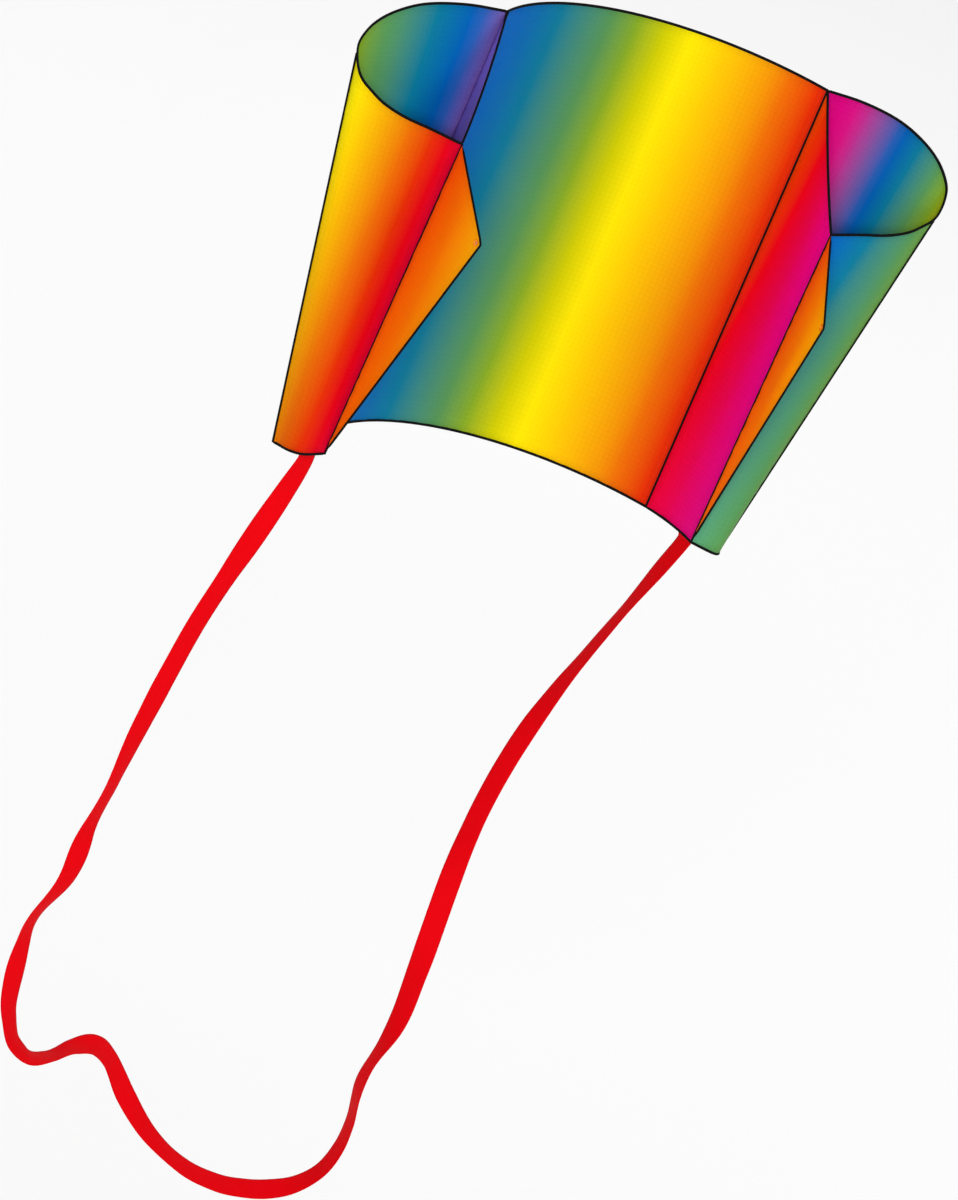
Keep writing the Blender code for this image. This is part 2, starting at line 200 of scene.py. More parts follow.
def tinted(tree, colour, factor):
    # a colour made lighter or darker by a factor
    node = addNode(tree, "ShaderNodeVectorMath", operation="SCALE")
    if isinstance(colour, tuple):
        node.inputs[0].default_value = colour
    else:
        tree.links.new(colour, node.inputs[0])
    plug(tree, factor, node.inputs["Scale"])
    return node.outputs["Vector"]


def bumped(tree, shader, look, **heights):
    # one Bump node after another; the look gives each its depth in metres and its strength
    normal = None
    for name, height in heights.items():
        depth, strength = look[name]
        bump = addNode(tree, "ShaderNodeBump")
        bump.inputs["Strength"].default_value = strength
        bump.inputs["Distance"].default_value = depth
        tree.links.new(height, bump.inputs["Height"])
        if normal:
            tree.links.new(normal, bump.inputs["Normal"])
        normal = bump.outputs["Normal"]
    tree.links.new(normal, shader.inputs["Normal"])


def mottledRoughness(tree, shader, cloud, look):
    # the roughness goes up and down with the cloud, around the look's own
    spread = look["roughnessSpread"]
    roughness = calc(tree, "MULTIPLY_ADD", cloud, spread, look["roughness"] - spread / 2)
    tree.links.new(roughness, shader.inputs["Roughness"])


def linear(colour):
    # screen values from 0 to 255 as linear light
    parts = []
    for value in colour:
        share = value / 255
        parts.append(share / 12.92 if share <= 0.04045 else ((share + 0.055) / 1.055) ** 2.4)
    return tuple(parts)


# Finishes

rainbow = {  # place on the rainbow: screen colour
    0.00: (222, 0, 128),
    0.05: (190, 45, 140),
    0.10: (118, 83, 158),
    0.16: (40, 91, 173),
    0.20: (0, 92, 174),
    0.30: (8, 119, 150),
    0.40: (88, 152, 87),
    0.45: (132, 171, 39),
    0.50: (201, 202, 1),
    0.55: (253, 232, 1),
    0.60: (253, 207, 0),
    0.70: (236, 111, 2),
    0.75: (229, 48, 2),
    0.80: (230, 0, 22),
    0.85: (224, 0, 50),
    0.90: (221, 0, 75),
    1.00: (215, 0, 126),
}

ripstop = {
    "pitch": 0.0055,  # metres between the thick threads
    "thread": 0.00035,
    "threadTint": -0.07,
    "threadHeight": 0.35,  # each height is a share of the depth in raisedBump
    "dyeScale": 9.0,
    "dyeTint": 0.05,
    "hem": 0.0085,  # the cloth is doubled this far from its edges
    "hemSoft": 0.0004,
    "hemTint": -0.05,
    "hemHeight": 0.6,
    "stitchIn": 0.0034,  # stitch row, from the edge
    "stitchWidth": 0.0005,
    "stitchPitch": 0.0036,
    "stitchTint": -0.16,
    "stitchHeight": 0.9,
    "wearScale": 30.0,
    "weaveScale": 1400.0,
    "roughness": 0.50,
    "roughnessSpread": 0.16,
    "specular": 0.03,
    "wearBump": (0.0016, 0.18),  # depth and strength
    "weaveBump": (0.00012, 0.3),
    "raisedBump": (0.0003, 0.7),
}


def rainbowColour(tree, place):
    # the dye's colour at a place on the rainbow
    node = addNode(tree, "ShaderNodeValToRGB")
    stops = node.color_ramp.elements
    while len(stops) < len(rainbow):
        stops.new(0.5)
    for stop, (spot, colour) in zip(stops, sorted(rainbow.items())):
        stop.position = spot
        stop.color = (*linear(colour), 1.0)
    tree.links.new(place, node.inputs["Fac"])
    return node.outputs["Color"]


def threadSquares(tree, across, down):
    # 1 on the thick threads, which cross in squares
    lines = []
    for distance in (across, down):
        gap = calc(tree, "PINGPONG", distance, ripstop["pitch"] / 2)
        lines.append(fade(tree, gap, ripstop["thread"] * 0.35, ripstop["thread"], 1.0, 0.0))
    return calc(tree, "MAXIMUM", *lines)


def stitchRow(tree, inwards, along):
    # 1 on the stitches, in a row along each edge
    offRow = calc(tree, "ABSOLUTE", calc(tree, "SUBTRACT", inwards, ripstop["stitchIn"]))
    row = fade(tree, offRow, ripstop["stitchWidth"] * 0.4, ripstop["stitchWidth"] * 0.9, 1.0, 0.0)
    step = calc(tree, "PINGPONG", along, ripstop["stitchPitch"] / 2)
    dash = fade(tree, step, ripstop["stitchPitch"] * 0.32, ripstop["stitchPitch"] * 0.42, 1.0, 0.0)
    return calc(tree, "MULTIPLY", row, dash)


def rainbowRipstop():
    material, tree, shader = newFinish("rainbowRipstop", ripstop["roughness"], ripstop["specular"])
    place, strength = uvParts(tree, "shade")
    inwards, along = uvParts(tree, "hem")
    threads = threadSquares(tree, *uvParts(tree, "weave"))
    stitches = stitchRow(tree, inwards, along)
    hemFrom, hemTo = ripstop["hem"] - ripstop["hemSoft"], ripstop["hem"] + ripstop["hemSoft"]
    hem = fade(tree, inwards, hemFrom, hemTo, 1.0, 0.0)

    dye = mottle(tree, ripstop["dyeScale"])
    factor = calc(tree, "MULTIPLY_ADD", dye, ripstop["dyeTint"], 1.0 - ripstop["dyeTint"] / 2)
    raised = 0.0
    for name, mask in (("thread", threads), ("hem", hem), ("stitch", stitches)):
        factor = calc(tree, "MULTIPLY_ADD", mask, ripstop[name + "Tint"], factor)
        raised = calc(tree, "MULTIPLY_ADD", mask, ripstop[name + "Height"], raised)
    # painted light and shade: the shade map's second value lightens or darkens the dye by its place on the
    # kite
    factor = calc(tree, "MULTIPLY", factor, strength)
    tree.links.new(tinted(tree, rainbowColour(tree, place), factor), shader.inputs["Base Color"])

    wear = mottle(tree, ripstop["wearScale"], 4.0)
    mottledRoughness(tree, shader, wear, ripstop)
    weave = mottle(tree, ripstop["weaveScale"])
    bumped(tree, shader, ripstop, wearBump=wear, weaveBump=weave, raisedBump=raised)
    return material


tapeLook = {
    "colour": (0.0030, 0.0030, 0.0033),
    "darkest": 0.6,
    "twillPitch": 0.0009,
    "twillSlant": 8,  # ribs that one turn round the tape crosses
    "twillTint": 0.25,
    "twillBump": (0.0002, 0.6),
    "fuzzScale": 260.0,
    "fuzzTint": 0.6,
    "fuzzBump": (0.0003, 0.3),
    "roughness": 0.70,
    "roughnessSpread": 0.2,
    "specular": 0.06,
}


def blackTape():
    material, tree, shader = newFinish("blackTape", tapeLook["roughness"], tapeLook["specular"])
    along, around = uvParts(tree, "tape")
    slant = calc(tree, "MULTIPLY_ADD", around, tapeLook["twillPitch"] * tapeLook["twillSlant"], along)
    halfPitch = tapeLook["twillPitch"] / 2
    ribs = fade(tree, calc(tree, "PINGPONG", slant, halfPitch), 0.0, halfPitch)
    fuzz = mottle(tree, tapeLook["fuzzScale"], 3.0)
    factor = calc(tree, "MULTIPLY_ADD", ribs, tapeLook["twillTint"], tapeLook["darkest"])
    factor = calc(tree, "MULTIPLY_ADD", fuzz, tapeLook["fuzzTint"], factor)
    tree.links.new(tinted(tree, tapeLook["colour"], factor), shader.inputs["Base Color"])
    mottledRoughness(tree, shader, fuzz, tapeLook)
    bumped(tree, shader, tapeLook, fuzzBump=fuzz, twillBump=ribs)
    return material


ribbonLook = {
    "colour": linear((231, 0, 12)),
    "depth": 0.74,
    "ribPitch": 0.0011,
    "ribTint": 0.05,
    "ribBump": (0.0002, 0.45),
    "selvedge": 0.0011,  # width of the firm edge, metres
    "selvedgeSoft": 0.0002,
    "selvedgeTint": -0.08,
    "selvedgeBump": (0.0002, 0.6),
    "cloudScale": 26.0,
    "cloudTint": 0.07,
    "cloudBump": (0.0012, 0.2),
    "roughness": 0.60,
    "roughnessSpread": 0.12,
    "specular": 0.03,
}


def redRibbonCloth():
    material, tree, shader = newFinish("redRibbonCloth", ribbonLook["roughness"], ribbonLook["specular"])
    along, across = uvParts(tree, "ribbon")
    halfPitch = ribbonLook["ribPitch"] / 2
    ribs = fade(tree, calc(tree, "PINGPONG", along, halfPitch), 0.0, halfPitch)
    edge = calc(tree, "ABSOLUTE", across)
    firmFrom, soft = ribbonSize["width"] / 2 - ribbonLook["selvedge"], ribbonLook["selvedgeSoft"]
    selvedge = fade(tree, edge, firmFrom - soft, firmFrom + soft)
    cloud = mottle(tree, ribbonLook["cloudScale"], 3.0)
    factor = calc(tree, "MULTIPLY_ADD", cloud, ribbonLook["cloudTint"], 1.0 - ribbonLook["cloudTint"] / 2)
    factor = calc(tree, "MULTIPLY_ADD", ribs, ribbonLook["ribTint"], factor)
    factor = calc(tree, "MULTIPLY_ADD", selvedge, ribbonLook["selvedgeTint"], factor)
    factor = calc(tree, "MULTIPLY", factor, ribbonLook["depth"])
    tree.links.new(tinted(tree, ribbonLook["colour"], factor), shader.inputs["Base Color"])
    mottledRoughness(tree, shader, cloud, ribbonLook)
    bumped(tree, shader, ribbonLook, cloudBump=cloud, ribBump=ribs, selvedgeBump=selvedge)
    return material


lacquerLook = {
    "colour": linear((240, 132, 0)),
    "darkest": 0.85,
    "cloudScale": 900.0,
    "cloudTint": 0.2,
    "cloudBump": (0.0001, 0.25),
    "roughness": 0.34,
    "roughnessSpread": 0.2,
    "specular": 0.35,
}


def orangeLacquer():
    material, tree, shader = newFinish("orangeLacquer", lacquerLook["roughness"], lacquerLook["specular"])
    cloud = mottle(tree, lacquerLook["cloudScale"], 3.0)
    factor = calc(tree, "MULTIPLY_ADD", cloud, lacquerLook["cloudTint"], lacquerLook["darkest"])
    tree.links.new(tinted(tree, lacquerLook["colour"], factor), shader.inputs["Base Color"])
    mottledRoughness(tree, shader, cloud, lacquerLook)
    bumped(tree, shader, lacquerLook, cloudBump=cloud)
    return material


def paleFloorPaint():
    material, tree, shader = newFinish("paleFloorPaint", studio["floorRoughness"], 0.0)
    cloud = mottle(tree, 0.6)
    factor = calc(tree, "MULTIPLY_ADD", cloud, studio["floorMottle"], 1.0 - studio["floorMottle"] / 2)
    tree.links.new(tinted(tree, studio["floorColour"], factor), shader.inputs["Base Color"])
    return material


# Lines of the kite, on its right side; the same values as in the part's source

kite = {
    "length": 0.500,
    "originHeight": 0.300,
    "halfSpan": 0.1925,
    "sag": 0.084,
    "cadCloth": 0.0008,
    "rim": [
        (0, 0), (0.0462, -0.0011), (0.0904, 0.0012), (0.1234, 0.0074), (0.1463, 0.0158), (0.1592, 0.0260),
        (0.1605, 0.0342), (0.1561, 0.0432), (0.1496, 0.0489), (0.1383, 0.0543), (0.1219, 0.0608),
        (0.0971, 0.0669), (0.0641, 0.0723), (0.0290, 0.0785),
    ],
    "outlet": [
        (0, 0), (0.0240, 0.0040), (0.0500, 0.0145), (0.0718, 0.0408),
        (0.0750, 0.0445), (0.0725, 0.0492), (0.0655, 0.0655), (0.0530, 0.0738), (0.0280, 0.0690),
    ],
    "folds": {"left": (6, 4), "right": (8, 5)},  # the points of the two outlines at each cell's outer seam
    "rimSlopes": (0.119, 1.55445),
    "outletSlopes": (0.1766, -0.0717),
    "wallBows": (0.0025, -0.0050),
    "keelTip": (-0.016, -0.096, -0.0665),  # from the top of the keel line
    "tabAlongWall": 0.80,
    "cellMiddle": (0.06, 0.035, 0.25),  # outward and forward of the seam, and its height
    "fineness": 24,  # steps between two points of an outline
    "arcSteps": 128,
}


def smoothPath(points, steps):
    # a smooth curve through the points
    padded = [2 * points[0] - points[1], *points, 2 * points[-1] - points[-2]]
    path = []
    for before, start, end, after in zip(padded, padded[1:], padded[2:], padded[3:]):
        for step in range(steps):
            t = step / steps
            path.append(
                0.5 * (2 * start + (end - before) * t)
                + 0.5 * (2 * before - 5 * start + 4 * end - after) * t * t
                + 0.5 * (3 * start - before - 3 * end + after) * t**3
            )
    path.append(points[-1].copy())
    return path


class Line:
    # a path that is read by the share of its length
    def __init__(self, points):
        self.points = points
        self.runs = [0.0]
        for start, end in zip(points, points[1:]):
            self.runs.append(self.runs[-1] + (end - start).length)
        self.length = self.runs[-1]

    def at(self, share):
        distance = min(max(share, 0.0), 1.0) * self.length
        index = min(max(bisect.bisect_right(self.runs, distance) - 1, 0), len(self.points) - 2)
        step = self.runs[index + 1] - self.runs[index]
        return self.points[index].lerp(self.points[index + 1], (distance - self.runs[index]) / step)

    def heading(self, share, reach=0.004):
        return (self.at(share + reach) - self.at(share - reach)).normalized()


def spotLine(point):
    # hardly longer than a point, for a tape that leans towards one
    return Line([point, point + Vector((0.0, 0.0, 0.001))])


def fromSeam(outward, forward, height):
    # a point on the right side, placed from the canopy's seam and the trailing edge
    seamY = kite["cadCloth"] / 2 - kite["sag"]
    return Vector((kite["halfSpan"] + outward, seamY - forward, height - kite["originHeight"]))


def mouthPoints(outline, fold, height, slopes):
    # a mouth of the cell, from the seam to the outer fold and from there to the keel line
    points = [fromSeam(out, ahead, height - slopes[0] * out - slopes[1] * ahead) for out, ahead in outline]
    path = smoothPath(points, kite["fineness"])
    outer = fold * kite["fineness"]
    return Line(path[: outer + 1]), Line(path[outer:])


def wallLine(seamEnd, keelEnd, bow):
    # the wall's edge, bowed towards the channel
    across = keelEnd - seamEnd
    inward = Vector((across.y, -across.x, 0.0)).normalized()
    shares = [step / kite["fineness"] for step in range(kite["fineness"] + 1)]
    return Line([seamEnd + across * t + inward * bow * 4 * t * (1 - t) for t in shares])


def canopyArc(height):
    radius = (kite["halfSpan"] ** 2 + kite["sag"] ** 2) / (2 * kite["sag"])
    half = math.asin(kite["halfSpan"] / radius)
    points = []
    for step in range(kite["arcSteps"] + 1):
        angle = half * (2 * step / kite["arcSteps"] - 1)
        depth = radius * (math.cos(angle) - 1) + kite["cadCloth"] / 2
        points.append(Vector((radius * math.sin(angle), depth, height - kite["originHeight"])))
    return Line(points)


mouths = {}
for side, (rimFold, outletFold) in kite["folds"].items():
    rimBack, rimFront = mouthPoints(kite["rim"], rimFold, kite["length"], kite["rimSlopes"])
    mouths[side] = rimBack, rimFront, *mouthPoints(kite["outlet"], outletFold, 0.0, kite["outletSlopes"])
rimBack, rimFront, outletBack, outletFront = mouths["right"]
keelTop, keelBottom = rimFront.at(1), outletFront.at(1)
keelTip = keelTop + Vector(kite["keelTip"])
keelLine = Line([keelTop, keelBottom])
keelEdge = Line([keelTop, keelTip, keelBottom])
keelDepth = (keelTip - keelTop).cross(keelLine.heading(0.5)).length
wallTop = wallLine(rimBack.at(0), keelTop, kite["wallBows"][0])
wallBottom = wallLine(outletBack.at(0), keelBottom, kite["wallBows"][1])
tabSpot = wallBottom.at(kite["tabAlongWall"])
leadingEdge, trailingEdge = canopyArc(kite["length"]), canopyArc(0.0)


def asIs(point):
    return Vector(point)


def mirrored(point):
    return Vector((-point.x, point.y, point.z))


sides = {"left": mirrored, "right": asIs}
addCamera()
addWorld()
addLamps()
addFloor()
print("camera, floor and light in place")

cloth = rainbowRipstop()
tape = blackTape()


# Building helpers

def flatGrid(columns, rows):
    # a flat grid, with each vertex's share of the width and of the height
    bm = bmesh.new()
    bmesh.ops.create_grid(bm, x_segments=columns, y_segments=rows, size=0.5)
    return bm, {vert: (vert.co.x + 0.5, 0.5 - vert.co.y) for vert in bm.verts}


def writeMaps(bm, **maps):
    # UV maps by name, from the values of each vertex
    for name, values in maps.items():
        layer = bm.loops.layers.uv.new(name)
        for face in bm.faces:
            for loop in face.loops:
                loop[layer].uv = values[loop.vert]


def addPiece(name, bm, finish, body, node):
    for face in bm.faces:
        face.smooth = True
    mesh = bpy.data.meshes.new(name)
    bm.to_mesh(mesh)
    bm.free()
    mesh.materials.append(finish)
    piece = bpy.data.objects.new(name, mesh)
    bpy.context.scene.collection.objects.link(piece)
    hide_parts(node)
    if body:
        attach(piece, body)
    return piece


def thicken(piece, thickness):
    solid = piece.modifiers.new("clothThickness", "SOLIDIFY")
    solid.thickness = thickness
    solid.offset = 0.0


def smooth(value, end):
    # from 0 at 0 to 1 at the end, with soft ends
    t = min(max(value / end, 0.0), 1.0)
    return t * t * (3 - 2 * t)


def between(value, stops):
    # read off a row of (place, amount) stops
    for (start, first), (end, last) in zip(stops, stops[1:]):
        if value <= end:
            return first + (last - first) * max(value - start, 0.0) / (end - start)
    return stops[-1][1]


# Ribbon tail

ribbonSize = {
    "width": 0.024,
    "thickness": 0.0004,
    "columns": 10,
    "rows": 640,
    "cup": 0.0004,
    "edgeRipple": 0.00035,
    "rippleLength": 0.03,
    "calmEnds": 0.04,  # flat over this length from its ends
    "uprightEnds": 0.003,  # share of the length that stands upright at either end
    "headingReach": 0.0015,
    "twistSoft": 0.003,
    "facing": (-0.45, -0.83, 0.33),  # the flat faces this way where its turn is 0
    "hinge": 0.008650,  # the tail's hinge, below the outlet's edge
    "tops": {  # x and y of its sewn ends from the tabs' places, turned to the left or right cell
        "left": (-0.0122, 0.0),
        "right": (0.0015, 0.0003),
    },
    "tuck": 0.012,  # height of the ends over the outlet's edge
    "bend": (0.001, -0.022),  # it bends with the swing between these heights over the hinge
    "pathSteps": 240,
    "route": [  # x, forward of the tabs, height above the trailing edge
        (-0.234, 0.000, -0.041), (-0.266, 0.002, -0.188), (-0.277, 0.004, -0.253),
        (-0.288, 0.008, -0.352), (-0.292, 0.010, -0.419), (-0.299, 0.013, -0.471),
        (-0.301, 0.017, -0.527), (-0.321, 0.022, -0.577), (-0.323, 0.026, -0.610),
        (-0.315, 0.029, -0.664), (-0.302, 0.028, -0.695), (-0.284, 0.024, -0.720),
        (-0.257, 0.017, -0.734), (-0.230, 0.007, -0.732), (-0.204, -0.004, -0.722),
        (-0.175, -0.015, -0.718), (-0.147, -0.024, -0.733), (-0.110, -0.027, -0.771),
        (-0.068, -0.023, -0.806), (-0.018, -0.019, -0.831), (0.024, -0.016, -0.839),
        (0.055, -0.013, -0.837), (0.081, -0.011, -0.831), (0.106, -0.008, -0.818),
        (0.126, -0.005, -0.795), (0.134, -0.003, -0.766), (0.134, -0.002, -0.734),
        (0.126, -0.001, -0.679), (0.137, 0.000, -0.611), (0.134, 0.001, -0.543),
        (0.125, 0.001, -0.405), (0.132, -0.001, -0.301), (0.155, -0.002, -0.200),
        (0.206, -0.003, -0.053),
    ],
    "turns": [  # share of the length, degrees about the ribbon's own line
        (0.000, -52.0), (0.014, -50.0), (0.030, -34.0), (0.055, -17.0), (0.065, -19.0), (0.090, -40.0),
        (0.160, -37.0), (0.185, -46.0), (0.205, -62.0), (0.225, -65.0), (0.235, -60.0), (0.250, -28.0),
        (0.280, -67.0), (0.290, -70.0), (0.300, -63.0), (0.320, -35.0), (0.355, -55.0), (0.380, -48.0),
        (0.390, -58.0), (0.400, -59.0), (0.410, -50.0), (0.425, -16.0), (0.435, -38.0), (0.445, -45.0),
        (0.465, -28.0), (0.510, -51.0), (0.565, -31.0), (0.575, -33.0), (0.590, -48.0), (0.640, -69.0),
        (0.655, -59.0), (0.670, -65.0), (0.690, -34.0), (0.720, -21.0), (0.740, 0.0), (0.770, 0.0),
        (0.780, -14.0), (0.805, -31.0), (0.865, -32.0), (0.905, -60.0), (0.945, -67.0), (0.975, -51.0),
        (1.000, -48.5),
    ],
}


def ribbonLine():
    # from inside the left cell, round the loop, to the back of the right cell's wall
    ends = []
    for side, flip in sides.items():
        shiftX, shiftY = ribbonSize["tops"][side]
        ends.append(flip(tabSpot) + Vector((shiftX, shiftY, 0.0)))
    route = []
    for x, forward, height in ribbonSize["route"]:
        route.append(Vector((x, tabSpot.y - forward, height - kite["originHeight"])))
    drop = Vector((0.0, 0.0, -ribbonSize["hinge"]))
    path = smoothPath([ends[0], ends[0] + drop, *route, ends[1] + drop, ends[1]], kite["fineness"])
    tuckIn = Vector((0.0, 0.0, ribbonSize["tuck"]))
    return Line([ends[0] + tuckIn, *path, ends[1] + tuckIn])


def softTurn(share):
    # the mean of five turns near a share, so that the twist has no kinks
    near = [between(share + step * ribbonSize["twistSoft"], ribbonSize["turns"]) for step in range(-2, 3)]
    return math.radians(sum(near) / len(near))


def makeRibbon():
    # the ribbon's piece, and its row of cloth at each end
    line = ribbonLine()
    facing = Vector(ribbonSize["facing"])
    upright = ribbonSize["uprightEnds"]
    bm, shares = flatGrid(ribbonSize["columns"], ribbonSize["rows"])
    rows = {}
    uvs = {}
    for vert, (across, down) in shares.items():
        if down not in rows:
            heading = line.heading(down, ribbonSize["headingReach"])
            if down < upright or down > 1 - upright:
                heading = Vector((0.0, 0.0, -1.0 if down < 0.5 else 1.0))
            sideways = Quaternion(heading, softTurn(down)) @ heading.cross(facing).normalized()
            rows[down] = (line.at(down), sideways, sideways.cross(heading))
        middle, sideways, normal = rows[down]
        offset = (across - 0.5) * ribbonSize["width"]
        metres = down * line.length
        calm = smooth(min(metres, line.length - metres), ribbonSize["calmEnds"])
        ripple = noise.noise(Vector((metres / ribbonSize["rippleLength"], 2.0 * across, 4.7)))
        ripple *= abs(2 * across - 1) ** 2
        lift = ribbonSize["cup"] * (1 - (2 * across - 1) ** 2) + ribbonSize["edgeRipple"] * ripple
        vert.co = middle + sideways * offset + normal * lift * calm
        uvs[vert] = (metres, offset)
    writeMaps(bm, ribbon=uvs)
    ribbon = addPiece("tailRibbon", bm, redRibbonCloth(), None, "tail_ribbon")
    thicken(ribbon, ribbonSize["thickness"])
    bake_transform(ribbon)
    points = [line.at(step / ribbonSize["pathSteps"]) for step in range(ribbonSize["pathSteps"] + 1)]
    print("ribbon tail:", round(line.length, 3), "m")
    return ribbon, {"left": rows[min(rows)], "right": rows[max(rows)]}


ribbon, ribbonEnds = makeRibbon()


# Black tapes and pipings

tapeSize = {
    "width": 0.0032,  # folded over a free edge
    "thickness": 0.0024,
    "lean": 0.0002,  # its middle lies this far in from the edge
    "keelWidth": 0.0028,
    "keelThickness": 0.0022,
    "keelTaper": 0.008,  # its ends thin down over this length, so that they clear the cell as the keel turns
    "taperedTo": 0.3,
    "spacing": 0.0024,
    "sides": 12,
    "shortenedSteps": 60,
    "pipings": {  # radius, then its shift outward and forward, so that it stays out of the cell
        "SeamPiping": (0.0011, -0.0009, 0.0006),
        "OuterPiping": (0.0012, 0.0009, 0.0),
        "KeelLinePiping": (0.0012, -0.0004, 0.0007),
    },
}


def tapeStations(stretches, closed):
    # places along the paths, each with its way to the other path
    closest = tapeSize["spacing"] * 0.3  # nearer to each other than this, two places are one
    stations = []
    for path, towards in stretches:
        count = max(int(path.length / tapeSize["spacing"]), 4)
        for step in range(count + 1):
            place = path.at(step / count)
            if not stations or (place - stations[-1][0]).length > closest:
                stations.append((place, towards.at(step / count) - place))
    if closed and (stations[-1][0] - stations[0][0]).length < closest:
        stations.pop()
    return stations


def tapeFrames(stations, lean, closed):
    # at each station: the tape's middle, the way inwards and the way out of the cloth
    count = len(stations)
    frames = []
    for index, (place, inwards) in enumerate(stations):
        before = stations[index - 1 if closed else max(index - 1, 0)][0]
        after = stations[(index + 1) % count if closed else min(index + 1, count - 1)][0]
        heading = (after - before).normalized()
        if closed:
            place = place * 0.5 + (before + after) * 0.25
        inwards = (inwards - heading * inwards.dot(heading)).normalized()
        frames.append((place + inwards * lean, inwards, heading.cross(inwards)))
    return frames


def makeTape(name, stretches, flip, width, thickness, lean, body, node, closed=False, taper=0.0):
    # stretches are (path, other path): the tape follows the first and leans towards the second
    frames = tapeFrames(tapeStations(stretches, closed), lean, closed)
    count = len(frames)
    last = count if closed else count - 1
    runs = Line([place for place, _, _ in frames] + ([frames[0][0]] if closed else [])).runs
    thinnest = tapeSize["taperedTo"]
    bm, shares = flatGrid(last, tapeSize["sides"])
    uvs = {}
    for vert, (down, around) in shares.items():
        index = round(down * last)
        place, inwards, sideways = frames[index % count]
        angle = math.tau * around
        full = 1.0
        if taper:
            toEnd = min(runs[index], runs[-1] - runs[index])
            full = thinnest + (1 - thinnest) * min(toEnd / taper, 1.0)
        flat = math.cos(angle) * width / 2 * full
        proud = math.sin(angle) * thickness / 2 * full
        vert.co = flip(place + inwards * flat + sideways * proud)
        uvs[vert] = (runs[index], around)
    writeMaps(bm, tape=uvs)
    bmesh.ops.remove_doubles(bm, verts=bm.verts, dist=1e-6)
    if not closed:
        bmesh.ops.holes_fill(bm, edges=[edge for edge in bm.edges if edge.is_boundary], sides=0)
    bmesh.ops.recalc_face_normals(bm, faces=bm.faces)
    return addPiece(name, bm, tape, body, node)


def shortened(line, startGap, endGap):
    first, last = startGap / line.length, 1 - endGap / line.length
    steps = tapeSize["shortenedSteps"]
    return Line([line.at(first + (last - first) * step / steps) for step in range(steps + 1)])


def makeTapes():
    pieces = {}
    edges = tapeSize["width"], tapeSize["thickness"], tapeSize["lean"]
    for name, node, path, towards in (
        ("leadingEdgeTape", "leading_edge_binding", leadingEdge, trailingEdge),
        ("trailingEdgeTape", "trailing_edge_binding", trailingEdge, leadingEdge),
    ):
        pieces[name] = makeTape(name, [(path, towards)], asIs, *edges, "sail", node)

    backwards = [Line(line.points[::-1]) for line in (wallTop, wallBottom)]
    centre = spotLine(fromSeam(*kite["cellMiddle"]))
    for side, flip in sides.items():
        rimBack, rimFront, outletBack, outletFront = mouths[side]
        intake = [(rimBack, outletBack), (rimFront, outletFront), (backwards[0], backwards[1])]
        outlet = [(outletBack, rimBack), (outletFront, rimFront), (backwards[1], backwards[0])]
        for name, stretches in (("intake", intake), ("outlet", outlet)):
            piece = f"{side}{name.title()}Tape"
            node = f"{side}_{name}_binding"
            pieces[piece] = makeTape(piece, stretches, flip, *edges, "sail", node, closed=True)
        for name, node, start, end in (
            ("SeamPiping", "seam_piping", rimBack.at(0), outletBack.at(0)),
            ("OuterPiping", "outer_piping", rimBack.at(1), outletBack.at(1)),
            ("KeelLinePiping", "keel_line_piping", keelTop, keelBottom),
        ):
            radius, out, ahead = tapeSize["pipings"][name]
            shift = Vector((out, -ahead, 0.0))
            pieces[side + name] = makeTape(
                side + name, [(Line([start + shift, end + shift]), centre)], flip,
                2 * radius, 2 * radius, 0.0, "sail", f"{side}_{node}",
            )
    return pieces


tapes = makeTapes()
print("tapes and pipings:", len(tapes))


# Cloth panels

panelSize = {
    "thickness": 0.0004,
    "cell": 0.0028,  # metres between two columns or rows
    "pucker": 0.00080,  # height of the gathers along a seam, where the noise is 1
    "puckerPitch": 0.0075,
    "puckerStart": 0.003,  # the seam itself stays flat
    "puckerReach": 0.010,
    "billow": 0.00176,  # height of the slow waves in the middle of a panel
    "billowStart": 0.045,
    "billowWaves": (0.075, 0.21),  # their lengths across and along
    "frontWidth": 0.130,  # the right front's shades are placed for this width
}
